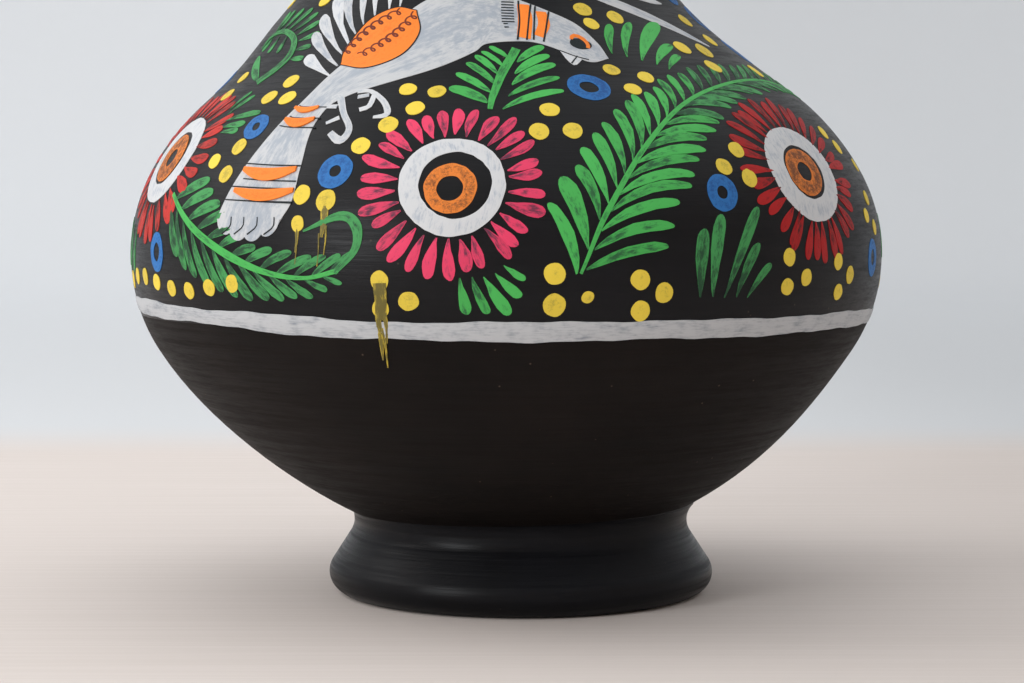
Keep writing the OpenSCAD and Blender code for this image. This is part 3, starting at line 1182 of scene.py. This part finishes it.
class VASE_OT_flowers(bpy.types.Operator):
    """Paints the ringed flowers round the belly"""

    bl_idname = "vase.flowers"
    bl_label = "Flowers"

    def execute(self, context):
        materials = paints(context)
        # spot, petals' paint, number of petals, ring radii, eye radii and petals' reach
        flowers = (
            ((-66, 128), "red", 28, (14.5, 9.0), (8.0, 3.0), (14.5, 25.0)),
            ((-7.5, 120.5), "pink", 30, (14.0, 9.5), (7.0, 3.5), (14.5, 24.5)),
            ((51, 124), "wine", 33, (15.0, 8.5), (7.5, 3.0), (14.5, 25.5)),
        )
        swapped = {"red": "wine", "wine": "pink", "pink": "red"}
        for name, around, seed in (("front", FRONT, 21), ("back", BACK, 22)):
            brush = Brush(the_skin(), seed, around)
            for spot, paint_name, petals, ring, eye, reach in flowers:
                own = paint_name if around == FRONT else swapped[paint_name]
                self.flower(brush, spot, own, petals, ring, eye, reach)
            for paint_name in ("pink", "red", "wine"):
                brush.finish(f"petals_{paint_name}_{name}", paint_name, materials[paint_name])
            brush.finish(f"flower_rings_{name}", "slip", materials["slip"])
            brush.finish(f"flower_eyes_{name}", "ochre", materials["ochre"])
        clear_marks()
        return {"FINISHED"}

    def flower(self, brush, spot, paint_name, petals, ring, eye, reach):
        """One flower: a white ring, an ochre eye and a wreath of pointed petals."""
        hand = brush.hand
        white = hoop_mark(f"mark_ring_{ring[0]}", 80, ring[1] / ring[0])
        ochre = hoop_mark(f"mark_eye_{eye[0]}", 60, eye[1] / eye[0])
        petal = drawn_mark("mark_petal", PETAL)
        # The pink flowers' rings are the least even ones
        uneven = paint_name == "pink"
        hole_aside = (0.9, 0.2) if uneven else (0.1, 0.1)
        eye_aside = (-0.3, -0.9) if uneven else (-0.3, 0.0)
        flat = 0.97
        brush.shape("slip", white, spot, 2 * ring[0], 2 * ring[0] * flat, lopsided=0.012, hole=hole_aside)
        brush.shape("ochre", ochre, spot, 2 * eye[0], 2 * eye[0] * flat, eye_aside, lopsided=0.02)
        for number in range(petals):
            heading = 360 * number / petals + hand.uniform(-2.5, 2.5)
            inner = reach[0] + hand.uniform(-0.4, 0.5)
            outer = reach[1] + hand.uniform(-1.6, 1.2)
            width = 2 * math.pi * reach[0] / petals * hand.uniform(0.92, 1.18)
            start = (inner * math.sin(math.radians(heading)), inner * math.cos(math.radians(heading)))
            lean = heading + hand.uniform(-5, 5)
            size = (width, outer - inner)
            brush.stroke(paint_name, petal, spot, lean, size, start, hand.uniform(-0.04, 0.04))


class VASE_OT_birds(bpy.types.Operator):
    """Paints the two white birds"""

    bl_idname = "vase.birds"
    bl_label = "Birds"

    def execute(self, context):
        materials = paints(context)
        for name, around, seed in (("front", FRONT, 31), ("back", BACK, 32)):
            brush = Brush(the_skin(), seed, around)
            self.body(brush)
            self.tail(brush)
            self.wing(brush)
            self.head(brush)
            self.claws(brush)
            for paint_name in ("slip", "orange", "line", "brown"):
                brush.finish(f"bird_{paint_name}_{name}", paint_name, materials[paint_name])
        clear_marks()
        return {"FINISHED"}

    def body(self, brush):
        """The body in one sheet, from the scalloped tail to the beak."""
        back = [(-44.5, 111.5), (-43, 119.5), (-40.5, 130), (-37.5, 141), (-33, 153), (-16, 170.5),
                (0, 173.5), (8, 170.5), (15.5, 167), (20.5, 163.5), (22.5, 158.5), (22.5, 154)]
        belly = [(-32.5, 111), (-31, 116.5), (-31, 125.5), (-31.5, 137.5), (-28, 144), (-13, 151),
                 (-5, 155.5), (-1.5, 158), (7.5, 158.5), (13.5, 156), (18, 153), (22.5, 154)]

        def scallops(across, ahead, turn, height):
            lobes = 1.3 * np.abs(np.sin(4 * np.pi * across)) ** 0.7 + 4.4 * np.sin(np.pi * across) ** 0.6
            return turn, height - lobes * (1 - smooth(ahead, 0.0, 0.065))

        brush.sheet("slip", loft(back, belly, scallops), 32, 150, (16, 130), 0.17)

    def tail(self, brush):
        """The bars across the tail and the lines between its feathers."""
        # Where each bar starts and ends, its height and how deep it is
        for left, right, height, depth in ((-37.5, -32.5, 141, 1.7), (-38, -32, 138, 2.6),
                                           (-41.5, -31.5, 125, 3.6), (-42, -31, 119.5, 3.4)):
            middle = ((left + right) / 2, height - 0.4)
            top = [(left, height), middle, (right, height)]
            base = []
            for share in np.linspace(0, 1, 5):
                sag = depth * math.sin(math.pi * (0.06 + 0.88 * share)) ** 0.7
                base.append((left + (right - left) * share, height - sag))
            brush.sheet("orange", loft(base, top), 3, 16, (depth, 10))
        for left, height, width in (
            (-37, 141.5, 0.3), (-37.5, 138.5, 0.4), (-38.5, 136, 0.4), (-41.5, 126, 0.45),
            (-41, 122, 0.4), (-43, 120, 0.5), (-43.5, 116.5, 0.6),
        ):
            brush.ribbon("line", [(left, height), (-36, height - 0.5), (-31, height - 0.7)], (0.3, width))
        for turn in (-41.5, -39, -36.5, -33.5):
            brush.ribbon("line", [(turn, 112), (turn, 109.5), (turn - 1.5, 107.5)], (0.3, 0.4))

    def wing(self, brush):
        """The orange wing with two brown scrolls, and the white feathers that fan out above it."""
        feather = drawn_mark("mark_feather", FEATHER)
        shoulder = [(-34, 149.5), (-32.5, 158), (-30, 165), (-22, 168.5)]
        leaves(brush, "slip", shoulder, -1, (0, 4.3, 9), (-53, -38, -27, -15, -3),
               (15, 20, 23, 25, 22, 17.5, 15, 13, 11), (4.3, 4.4, 3.8, 2.8, 2.4), -0.03, feather)
        upper = [(-33.5, 152.5), (-34, 157), (-30.5, 165), (-24, 168.5), (-18, 167.5)]
        lower = [(-33.5, 152.5), (-27, 151.5), (-20, 155), (-16.5, 161.5), (-18, 167.5)]
        brush.sheet("orange", loft(upper, lower), 14, 22, (16, 27))
        brush.ribbon("line", upper, (0.4, 0.3))
        brush.ribbon("line", lower, (0.3, 0.45, 0.3))
        # The scrolls run along the wing, one on each side of its middle
        start, heading = (-33.5, 152.5), math.radians(36)
        for side, first, last, turns in ((-4.7, 3.4, 25.0, 8), (3.6, 6.0, 26.5, 8)):
            scroll = []
            for share in np.linspace(0, 1, 10 * turns + 1):
                phase = 2 * math.pi * turns * share
                ahead = first + (last - first) * share + 0.95 * math.sin(phase)
                off = side * math.sin(math.pi * (0.18 + 0.64 * share)) - 1.35 * math.cos(phase)
                right = ahead * math.sin(heading) + off * math.cos(heading)
                up = ahead * math.cos(heading) - off * math.sin(heading)
                scroll.append(brush.skin.spot_off(start, right, up))
            brush.ribbon("brown", scroll, (0.5, 0.7, 0.5), steps=16 * turns)

    def head(self, brush):
        """The neck's bars, the hatching, the eye and the lower beak."""
        dab = round_mark("mark_dab")
        for spots, widths in ((((9, 169), (8.5, 165), (6.5, 159.5)), (3.2, 3.9, 3.6)),
                              (((13, 167), (12.5, 163.5), (10, 160)), (2.8, 3.2, 2.6))):
            brush.ribbon("orange", spots, widths)
        for spots in (((8, 170), (7, 164.5), (5, 159)), ((11, 169), (7, 159)), ((12, 168.5), (8.5, 159)),
                      ((15, 167), (10.5, 158.5))):
            brush.ribbon("line", spots, (0.5, 0.45, 0.5))
        for number in range(9):
            height = 170.5 - 0.8 * number
            left, right = 3.7 - 0.12 * number, 6.9 - 0.15 * number
            brush.ribbon("line", [(left, height), (right, height - 0.1)], (0.4, 0.4))
        for height in (163.5, 162.5):
            brush.ribbon("line", [(3, height), (4, height)], (0.5, 0.3))
        eye = (18.5, 158)
        brush.shape("line", dab, eye, 6.0, 4.6, lean=28)
        arch = [(eye[0] - 0.2 + 1.6 * math.sin(way), eye[1] + 0.2 + 2.1 * math.cos(way))
                for way in np.radians((-60, -20, 20, 60, 100, 135))]
        brush.ribbon("orange", arch, (0.8, 1.3, 1.5, 1.5, 1.4, 1.0), film=0.40)
        upper = [(13, 156), (16.5, 154)]
        lower = [(13, 156), (13.5, 153.5), (14.5, 152), (16.5, 153.5)]
        brush.sheet("slip", loft(upper, lower), 4, 8, (3, 4), 0.19)
        brush.ribbon("line", [(13, 156), (15.5, 154.5), (18, 153.5)], (0.3, 0.35))
        brush.ribbon("line", [(14, 152.5), (15, 153.5), (16, 154.5)], (0.4, 0.3))

    def claws(self, brush):
        """The two thin legs with their toes."""
        # Spots along each stroke, and its widths
        for spots, widths in (
            (((-31, 143), (-29.5, 143.5), (-27, 139), (-25, 135.5), (-25, 133), (-26, 132), (-28, 134)),
             (2.6, 2.2, 1.7, 1.8, 2.2, 2.6, 1.8)),
            (((-31, 141), (-29, 141)), (1.3, 1.5)),
            (((-29.5, 136.5), (-27.5, 138)), (1.0, 1.5)),
            (((-26.5, 145), (-24, 145), (-21, 142.5), (-19.5, 140), (-19.5, 138.5), (-21.5, 138)),
             (1.6, 1.4, 1.6, 1.8, 1.8, 0.9)),
            (((-26, 143.5), (-24, 144)), (1.5, 1.4)),
            (((-23, 144), (-23, 141), (-24.5, 140)), (1.5, 1.6, 1.6)),
        ):
            brush.ribbon("slip", spots, widths, film=0.22)


class VASE_OT_small_marks(bpy.types.Operator):
    """Paints the blue rings, the yellow dots with their runs, and the long white strokes"""

    bl_idname = "vase.small_marks"
    bl_label = "Rings, dots and runs"

    def execute(self, context):
        materials = paints(context)
        for name, around, seed in (("front", FRONT, 41), ("back", BACK, 42)):
            brush = Brush(the_skin(), seed, around)
            self.rings(brush)
            self.dots(brush)
            if around == FRONT:
                self.runs(brush)
            blade = drawn_mark("mark_blade", BLADE)
            brush.strokes("slip", blade, (57, 159), (31, 173), 4.4, 0.03)
            brush.strokes("slip", blade, (55, 171), (40, 174), 3.2, 0.0)
            brush.finish(f"rings_{name}", "blue", materials["blue"])
            brush.finish(f"dots_{name}", "yellow", materials["yellow"])
            brush.finish(f"runs_{name}", "run", materials["run"])
            brush.finish(f"white_strokes_{name}", "slip", materials["slip"])
        clear_marks()
        return {"FINISHED"}

    def rings(self, brush):
        """Blue rings, each pulled round once with a full brush."""
        # Spot, width, height, and the hole as a share of the ring
        for spot, wide, high, hole in (
            ((15, 146), 11, 11, 0.45), ((-25, 124), 10, 9.5, 0.35), ((-44, 136), 8.5, 8.5, 0.35),
            ((-60.5, 102), 9, 11, 0.45), ((32, 118.5), 10, 10, 0.35), ((69.5, 100), 9, 11, 0.45),
            ((76, 158.5), 10.5, 10, 0.45), ((74, 168), 10, 9.5, 0.45), ((66, 175), 9, 9, 0.45),
            ((-80, 150), 10, 10, 0.45),
        ):
            mark = hoop_mark(f"mark_hoop_{hole}", 32, hole)
            brush.shape("blue", mark, spot, wide, high, lopsided=0.05)

    def dots(self, brush):
        """Yellow dots in threes between the motifs, in a row above the belly line, and single ones."""
        # Middle of the three, heading of the first from straight up, and width
        for spot, first, wide in (
            ((7.5, 136), 0, 5.3), ((24, 148.5), -45, 4.7), ((36, 126), 27, 5.1), ((44.5, 97), -25, 4.7),
            ((57, 95.5), -40, 4.7), ((71, 112), 25, 4.4), ((19.5, 92.5), -30, 5.2),
            ((-14.5, 143.5), 60, 4.9), ((-44, 145.5), 0, 5.4), ((-47, 127), 30, 5.0),
            ((48.5, 156), -60, 5.2), ((88.5, 125.5), 0, 4.7),
        ):
            for number in range(3):
                way = math.radians(first + 120 * number + brush.hand.uniform(-9, 9))
                apart = brush.hand.uniform(4.3, 5.3)
                self.dot(brush, spot, wide, (apart * math.sin(way), apart * math.cos(way)))
        for number in range(8):
            self.dot(brush, (-76 + 5 * number, 93.5 + 1.5 * math.sin(number)), 4.8)
        for turn, height, wide in (
            (22.5, 172.5, 5.0), (24.5, 164, 4.4), (24.5, 168, 5.2), (32.5, 166, 4.8), (6.5, 98, 5.6),
            (6.5, 90, 6.0), (11, 92, 3.1), (-18.5, 136, 5.4), (-22, 130.5, 5.2), (-13, 91, 5.4),
            (-65, 150.5, 4.8), (-64, 145.5, 5.4), (-51, 172, 5.0), (-77.5, 173, 4.6),
            (60, 166.5, 4.8), (62, 161, 4.6), (67, 152.5, 5.2), (67, 135, 4.6),
            (69.5, 131, 4.6), (76, 126, 4.4), (85, 92, 4.8), (-88, 131, 5.0), (-90, 164, 5.0),
        ):
            self.dot(brush, (turn, height), wide)

    def dot(self, brush, spot, wide, offset=(0.0, 0.0)):
        """One dot, a little off its place on the back."""
        shift = (brush.hand.uniform(-1.4, 1.4) * brush.loose, brush.hand.uniform(-0.9, 0.9) * brush.loose)
        spot = (spot[0] + shift[0], spot[1] + shift[1])
        high = wide * brush.hand.uniform(0.94, 1.04)
        brush.shape("yellow", round_mark("mark_dab"), spot, wide, high, offset, lopsided=0.03)

    def runs(self, brush):
        """Drops that ran down before they dried, on the front only."""
        dab = round_mark("mark_dab")
        for turn, height, wide in (
            (-29.5, 118, 5.0), (-25.5, 116.5, 5.6), (-29.5, 110.5, 4.0), (-17, 96, 4.8), (-17, 89, 4.6)
        ):
            brush.shape("yellow", dab, (turn, height), wide, wide * 1.08, lopsided=0.03)
        # Turn, where the run starts and ends, and its widths
        for turn, high, low, widths in (
            (-25.5, 115, 107, (2.4, 1.8, 0.7)), (-25, 110, 102.5, (0.5, 0.35, 0.25)),
            (-26, 108, 99.5, (0.4, 0.3, 0.25)), (-29.5, 109, 103, (1.2, 0.7, 0.3)),
            (-29.5, 108, 100, (0.4, 0.3, 0.2)), (-17, 95.5, 86, (3.6, 3.2, 2.9)),
            (-17.5, 88, 75.5, (1.3, 1.5, 1.1, 0.4)), (-16.5, 88, 80, (1.2, 1.0, 0.3)),
            (-17, 84, 73.5, (0.7, 0.6, 0.3)),
        ):
            spots = [(turn, high), (turn + 0.1, (high + low) / 2), (turn - 0.1, low)]
            # The runs nearest the middle cross the white line, so they stand higher
            brush.ribbon("run", spots, widths, film=0.36 if turn > -20 else 0.2)


class VASE_OT_neck_pattern(bpy.types.Operator):
    """Paints the plain wreath of leaves and dots on the neck"""

    bl_idname = "vase.neck_pattern"
    bl_label = "Neck pattern"

    def execute(self, context):
        materials = paints(context)
        brush = Brush(the_skin(), 51)
        leaf, dab = drawn_mark("mark_leaf", LEAF), round_mark("mark_dab")
        sprays = 14
        for number in range(sprays):
            turn = 360 * number / sprays - 180 + brush.hand.uniform(-1, 1)
            for lean, size in ((-34, (3.0, 15)), (0, (3.4, 21)), (34, (3.0, 15))):
                heading = lean + brush.hand.uniform(-3, 3)
                brush.stroke("green", leaf, (turn, 187), heading, size, (lean * 0.05, 0), lean * 0.0015)
            between = turn + 180 / sprays
            for height, wide in ((189, 4.4), (197, 4.4), (205, 3.8)):
                brush.shape("yellow", dab, (between, height), wide, wide, lopsided=0.03)
        brush.finish("neck_leaves", "green", materials["green"])
        brush.finish("neck_dots", "yellow", materials["yellow"])
        clear_marks()
        return {"FINISHED"}


# ---------------------------------------------------------------- the stage


def soft_light(name, size, power, colour, spot, aim):
    """A large flat light that the camera doesn't see, aimed at a point."""
    lamp = bpy.data.lights.new(name, "AREA")
    lamp.shape = "RECTANGLE"
    lamp.size, lamp.size_y = size
    lamp.energy = power
    lamp.color = colour
    light = bpy.data.objects.new(name, lamp)
    bpy.context.scene.collection.objects.link(light)
    light.location = spot
    towards = Vector(aim) - light.location
    light.rotation_euler = towards.to_track_quat("-Z", "Y").to_euler()
    light.visible_camera = False
    return light


class VASE_OT_stage(bpy.types.Operator):
    """Makes the pale sweep, the soft lights and the camera"""

    bl_idname = "vase.stage"
    bl_label = "Stage"

    def execute(self, context):
        settings = context.scene.stage_settings
        cove = 0.7
        reach = 2.6
        wall = arc(np.array([reach - cove, cove]), cove, -math.pi / 2, 0.0)
        outline = [np.array([0.0, 0.0]), np.array([0.3, 0.0]), np.array([1.0, 0.0]), *wall[::3],
                   np.array([reach, 2.2])]
        sweep = turned("studio_sweep", outline, closed=False, steps=96)
        points = points_of(sweep)
        points[:, 2] -= 0.02 * MM
        move_points(sweep, points)
        facing_up(sweep)
        smoothed(sweep, 60)
        sweep.data.materials.append(self.sweep_finish(settings))

        world = bpy.data.worlds.new("soft_sky")
        world.use_nodes = True
        backing = world.node_tree.nodes["Background"]
        backing.inputs["Color"].default_value = (0.95, 0.975, 1.0, 1.0)
        backing.inputs["Strength"].default_value = settings.sky
        context.scene.world = world
        cool, neutral = (0.93, 0.97, 1.0), (1.0, 0.99, 0.98)
        belly = (0, 0, context.scene.vase_sizes.belly_height)
        soft_light("key_light", (0.4, 0.6), settings.key_power, cool, (-1.04, -1.01, 0.49), belly)
        soft_light("side_light", (0.9, 0.9), settings.side_power, neutral, (-1.2, 0.05, 1.03), belly)
        context.scene.view_settings.view_transform = "Standard"
        self.camera(context, settings)
        return {"FINISHED"}

    def sweep_finish(self, settings):
        """Plain matt board, warm round the vase and cooler further off, with painted shade and painted light
        in its colour.
        """
        finish = Finish("studio_sweep", 0.85, 0.2)
        place = finish.node("ShaderNodeTexCoord").outputs["Object"]
        parts = finish.node("ShaderNodeSeparateXYZ", {"Vector": place}).outputs
        far = finish.ramp(parts["Y"], 0.36, 0.52)
        fibres = finish.noise(finish.stretched(place, (6.0, 420.0, 30.0)), 1.0, 4.0, 0.6)
        table = finish.mix(finish.ramp(fibres, 0.3, 0.75), linear(220, 210, 203), tuple(settings.table))
        board = finish.mix(far, table, tuple(settings.backdrop))
        # Painted shade: the board is darkened to the right, away from the window. Further off it is painted
        # darker where it lies flat and brighter up towards the wall.
        across = finish.ramp(parts["X"], -0.05, 0.32, 1.0, 0.82)
        back = finish.math("MULTIPLY", finish.ramp(parts["Y"], 0.6, 2.3, 0.86, 1.05), far)
        back = finish.math("ADD", back, finish.math("SUBTRACT", 1.0, far))
        inputs = {"Color": board, "Value": finish.math("MULTIPLY", across, back)}
        finish.link(finish.node("ShaderNodeHueSaturation", inputs).outputs["Color"], "Base Color")
        return finish.material

    def camera(self, context, settings):
        """The camera, level with the belly and looking slightly down."""
        lens = bpy.data.cameras.new("camera")
        lens.lens = settings.lens
        lens.sensor_width = 36.0
        lens.clip_start = 0.01
        camera = bpy.data.objects.new("camera", lens)
        context.scene.collection.objects.link(camera)
        camera.location = (0.0, -settings.camera_distance, settings.camera_height)
        camera.rotation_euler = (math.pi / 2 - settings.camera_down, 0.0, -settings.camera_right)
        context.scene.camera = camera


class VASE_PT_panel(bpy.types.Panel):
    """Lists the vase's pieces in the 3D view's sidebar"""

    bl_idname = "VASE_PT_panel"
    bl_label = "Painted clay vase"
    bl_space_type = "VIEW_3D"
    bl_region_type = "UI"
    bl_category = "Vase"

    def draw(self, context):
        for operator in OPERATORS:
            self.layout.operator(operator.bl_idname)
        for group in (context.scene.vase_sizes, context.scene.vase_colours, context.scene.stage_settings):
            box = self.layout.box()
            for name in group.__annotations__:
                box.prop(group, name)


OPERATORS = (
    VASE_OT_foot,
    VASE_OT_bowls,
    VASE_OT_neck,
    VASE_OT_lines,
    VASE_OT_fronds,
    VASE_OT_flowers,
    VASE_OT_birds,
    VASE_OT_small_marks,
    VASE_OT_neck_pattern,
    VASE_OT_stage,
)
GROUPS = {"vase_sizes": VaseSizes, "vase_colours": VaseColours, "stage_settings": StageSettings}


def register():
    for group in GROUPS.values():
        bpy.utils.register_class(group)
    for name, group in GROUPS.items():
        setattr(bpy.types.Scene, name, bpy.props.PointerProperty(type=group))
    for operator in OPERATORS:
        bpy.utils.register_class(operator)
    bpy.utils.register_class(VASE_PT_panel)


def unregister():
    bpy.utils.unregister_class(VASE_PT_panel)
    for operator in reversed(OPERATORS):
        bpy.utils.unregister_class(operator)
    for name in GROUPS:
        delattr(bpy.types.Scene, name)
    for group in reversed(list(GROUPS.values())):
        bpy.utils.unregister_class(group)


def main():
    """Builds every piece in order."""
    register()
    bpy.ops.vase.foot()
    bpy.ops.vase.bowls()
    bpy.ops.vase.neck()
    bpy.ops.vase.lines()
    bpy.ops.vase.fronds()
    bpy.ops.vase.flowers()
    bpy.ops.vase.birds()
    bpy.ops.vase.small_marks()
    bpy.ops.vase.neck_pattern()
    bpy.ops.vase.stage()


if __name__ == "__main__":
    main()
